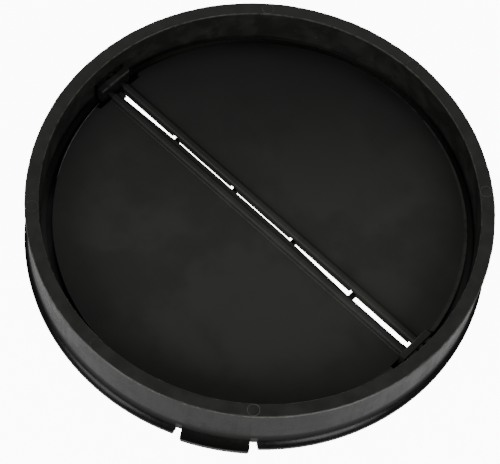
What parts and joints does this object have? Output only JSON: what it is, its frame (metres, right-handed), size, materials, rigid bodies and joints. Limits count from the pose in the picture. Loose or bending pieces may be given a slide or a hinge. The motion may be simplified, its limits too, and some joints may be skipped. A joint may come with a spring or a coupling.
{
  "type": "backdraft damper",
  "caption": "Round spigot ring for a 150 mm air duct with two half-moon flaps hinged side by side on its diameter, falling shut by their own weight.",
  "frame": {"origin": "centre of the ring's foot face, on the duct's axis", "axes": "+Z along the duct's axis, the way the air leaves and the flaps open; +X along the hinge line; +Y over the rear flap"},
  "size_m": [0.152, 0.152, 0.025],
  "materials": {
    "ring_plastic": "satin black, lightly grained",
    "flap_plastic": "satin black"
  },
  "bodies": {
    "ring": {"damper_ring": "ring_plastic"},
    "rear_flap": {"rear_flap": "flap_plastic"},
    "front_flap": {"front_flap": "flap_plastic"}
  },
  "joints": [
    {"name": "rear_hinge", "type": "hinge", "parent": "ring", "child": "rear_flap", "pos_m": [0, 0.0027, 0.0146], "axis": [1, 0, 0], "range_deg": [0, 85]},
    {"name": "front_hinge", "type": "hinge", "parent": "ring", "child": "front_flap", "pos_m": [0, -0.0027, 0.0146], "axis": [-1, 0, 0], "range_deg": [0, 85]}
  ]
}
